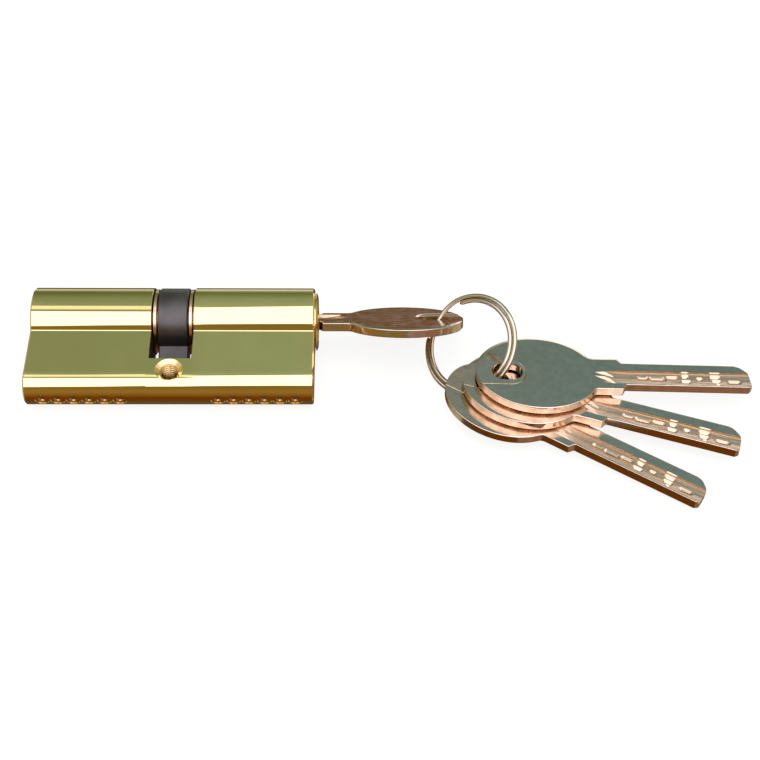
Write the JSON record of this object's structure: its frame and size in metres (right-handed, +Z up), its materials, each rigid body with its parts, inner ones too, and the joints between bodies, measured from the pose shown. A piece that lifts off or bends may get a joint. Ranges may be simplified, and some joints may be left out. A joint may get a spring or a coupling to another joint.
{
  "type": "double euro profile lock cylinder with keys",
  "caption": "Brass double euro-profile lock cylinder lying on its flank, dimple key inserted and turned, spare keys on a split ring.",
  "frame": {"origin": "middle of the base of the whole object as it lies on a table", "axes": "+X along the barrel towards the keyed end, +Z up from the table, +Y from the stem towards the barrel"},
  "size_m": [0.1776, 0.068, 0.0192],
  "materials": {
    "brass": "polished",
    "brass_dull": "turned",
    "nickel": "nickel plate, milled and stamped",
    "sintered_steel": "dark sintered steel, satin",
    "coppered_steel": "copper-tinted spring steel",
    "spring_steel": "bright wire"
  },
  "bodies": {
    "housing": {"cylinder_body": "brass", "plug_inner": "brass", "circlip_inner": "coppered_steel", "chamber_cap_outer_1": "brass", "chamber_cap_outer_2": "brass", "chamber_cap_outer_3": "brass", "chamber_cap_outer_4": "brass", "chamber_cap_outer_5": "brass", "chamber_cap_outer_6": "brass", "chamber_cap_inner_1": "brass", "chamber_cap_inner_2": "brass", "chamber_cap_inner_3": "brass", "chamber_cap_inner_4": "brass", "chamber_cap_inner_5": "brass", "chamber_cap_inner_6": "brass", "pin_spring_outer_1": "spring_steel", "pin_spring_outer_2": "spring_steel", "pin_spring_outer_3": "spring_steel", "pin_spring_outer_4": "spring_steel", "pin_spring_outer_5": "spring_steel", "pin_spring_outer_6": "spring_steel", "pin_spring_inner_1": "spring_steel", "pin_spring_inner_2": "spring_steel", "pin_spring_inner_3": "spring_steel", "pin_spring_inner_4": "spring_steel", "pin_spring_inner_5": "spring_steel", "pin_spring_inner_6": "spring_steel"},
    "outer_plug": {"plug_outer": "brass", "circlip_outer": "coppered_steel", "key_pin_outer_1": "brass_dull", "key_pin_outer_2": "brass_dull", "key_pin_outer_3": "brass_dull", "key_pin_outer_4": "brass_dull", "key_pin_outer_5": "brass_dull", "key_pin_outer_6": "brass_dull"},
    "cam_set": {"cam": "sintered_steel", "clutch": "sintered_steel"},
    "turned_key": {"key_inserted": "nickel"},
    "ring": {"key_ring": "spring_steel"},
    "loose_key_top": {"key_loose_top": "nickel"},
    "loose_key_middle": {"key_loose_middle": "nickel"},
    "loose_key_bottom": {"key_loose_bottom": "nickel"},
    "inner_stack_1": {"key_pin_inner_1": "brass_dull", "driver_pin_inner_1": "brass_dull"},
    "outer_driver_1": {"driver_pin_outer_1": "brass_dull"},
    "inner_stack_2": {"key_pin_inner_2": "brass_dull", "driver_pin_inner_2": "brass_dull"},
    "outer_driver_2": {"driver_pin_outer_2": "brass_dull"},
    "inner_stack_3": {"key_pin_inner_3": "brass_dull", "driver_pin_inner_3": "brass_dull"},
    "outer_driver_3": {"driver_pin_outer_3": "brass_dull"},
    "inner_stack_4": {"key_pin_inner_4": "brass_dull", "driver_pin_inner_4": "brass_dull"},
    "outer_driver_4": {"driver_pin_outer_4": "brass_dull"},
    "inner_stack_5": {"key_pin_inner_5": "brass_dull", "driver_pin_inner_5": "brass_dull"},
    "outer_driver_5": {"driver_pin_outer_5": "brass_dull"},
    "inner_stack_6": {"key_pin_inner_6": "brass_dull", "driver_pin_inner_6": "brass_dull"},
    "outer_driver_6": {"driver_pin_outer_6": "brass_dull"}
  },
  "joints": [
    {"name": "plug_turn", "type": "hinge", "parent": "housing", "child": "outer_plug", "pos_m": [-0.05353, 0.02218, 0.0085], "axis": [1, 0, 0], "continuous": true},
    {"name": "cam_turn", "type": "hinge", "parent": "housing", "child": "cam_set", "pos_m": [-0.05353, 0.02218, 0.0085], "axis": [1, 0, 0], "continuous": true},
    {"name": "key_slide", "type": "slide", "parent": "outer_plug", "child": "turned_key", "axis": [1, 0, 0], "range_m": [0, 0.033]},
    {"name": "ring_swing", "type": "hinge", "parent": "turned_key", "child": "ring", "pos_m": [0.01187, 0.02168, 0.0088], "axis": [0, -0.8833, 0.4689], "range_deg": [0, 45]},
    {"name": "loose_key_top_swing", "type": "hinge", "parent": "ring", "child": "loose_key_top", "pos_m": [0.0273, 0.00313, 0.00906], "axis": [0.0559, 0.012, 0.9984], "range_deg": [-16, 20]},
    {"name": "loose_key_middle_swing", "type": "hinge", "parent": "ring", "child": "loose_key_middle", "pos_m": [0.02505, 0.00222, 0.0066], "axis": [0.0559, 0.012, 0.9984], "range_deg": [-20, 20]},
    {"name": "loose_key_bottom_swing", "type": "hinge", "parent": "ring", "child": "loose_key_bottom", "pos_m": [0.02204, 0.00225, 0.00416], "axis": [0.0559, 0.012, 0.9984], "range_deg": [-16, 12]},
    {"name": "stack_inner_1_press", "type": "slide", "parent": "housing", "child": "inner_stack_1", "axis": [0, -0.9838, -0.1795], "range_m": [0, 0.0018], "stiffness_N_per_m": 150, "springref_m": -0.002, "deforming": ["pin_spring_inner_1"]},
    {"name": "stack_outer_1_press", "type": "slide", "parent": "housing", "child": "outer_driver_1", "axis": [0, -0.9838, -0.1795], "range_m": [0, 0.0018], "stiffness_N_per_m": 150, "springref_m": -0.002, "deforming": ["pin_spring_outer_1"]},
    {"name": "stack_inner_2_press", "type": "slide", "parent": "housing", "child": "inner_stack_2", "axis": [0, -0.9838, -0.1795], "range_m": [0, 0.0018], "stiffness_N_per_m": 150, "springref_m": -0.002, "deforming": ["pin_spring_inner_2"]},
    {"name": "stack_outer_2_press", "type": "slide", "parent": "housing", "child": "outer_driver_2", "axis": [0, -0.9838, -0.1795], "range_m": [0, 0.0018], "stiffness_N_per_m": 150, "springref_m": -0.002, "deforming": ["pin_spring_outer_2"]},
    {"name": "stack_inner_3_press", "type": "slide", "parent": "housing", "child": "inner_stack_3", "axis": [0, -0.9838, -0.1795], "range_m": [0, 0.0018], "stiffness_N_per_m": 150, "springref_m": -0.002, "deforming": ["pin_spring_inner_3"]},
    {"name": "stack_outer_3_press", "type": "slide", "parent": "housing", "child": "outer_driver_3", "axis": [0, -0.9838, -0.1795], "range_m": [0, 0.0018], "stiffness_N_per_m": 150, "springref_m": -0.002, "deforming": ["pin_spring_outer_3"]},
    {"name": "stack_inner_4_press", "type": "slide", "parent": "housing", "child": "inner_stack_4", "axis": [0, -0.9838, -0.1795], "range_m": [0, 0.0018], "stiffness_N_per_m": 150, "springref_m": -0.002, "deforming": ["pin_spring_inner_4"]},
    {"name": "stack_outer_4_press", "type": "slide", "parent": "housing", "child": "outer_driver_4", "axis": [0, -0.9838, -0.1795], "range_m": [0, 0.0018], "stiffness_N_per_m": 150, "springref_m": -0.002, "deforming": ["pin_spring_outer_4"]},
    {"name": "stack_inner_5_press", "type": "slide", "parent": "housing", "child": "inner_stack_5", "axis": [0, -0.9838, -0.1795], "range_m": [0, 0.0018], "stiffness_N_per_m": 150, "springref_m": -0.002, "deforming": ["pin_spring_inner_5"]},
    {"name": "stack_outer_5_press", "type": "slide", "parent": "housing", "child": "outer_driver_5", "axis": [0, -0.9838, -0.1795], "range_m": [0, 0.0018], "stiffness_N_per_m": 150, "springref_m": -0.002, "deforming": ["pin_spring_outer_5"]},
    {"name": "stack_inner_6_press", "type": "slide", "parent": "housing", "child": "inner_stack_6", "axis": [0, -0.9838, -0.1795], "range_m": [0, 0.0018], "stiffness_N_per_m": 150, "springref_m": -0.002, "deforming": ["pin_spring_inner_6"]},
    {"name": "stack_outer_6_press", "type": "slide", "parent": "housing", "child": "outer_driver_6", "axis": [0, -0.9838, -0.1795], "range_m": [0, 0.0018], "stiffness_N_per_m": 150, "springref_m": -0.002, "deforming": ["pin_spring_outer_6"]}
  ],
  "couplings": [
    {"joint": "cam_turn", "follows": "plug_turn", "ratio": 1}
  ]
}
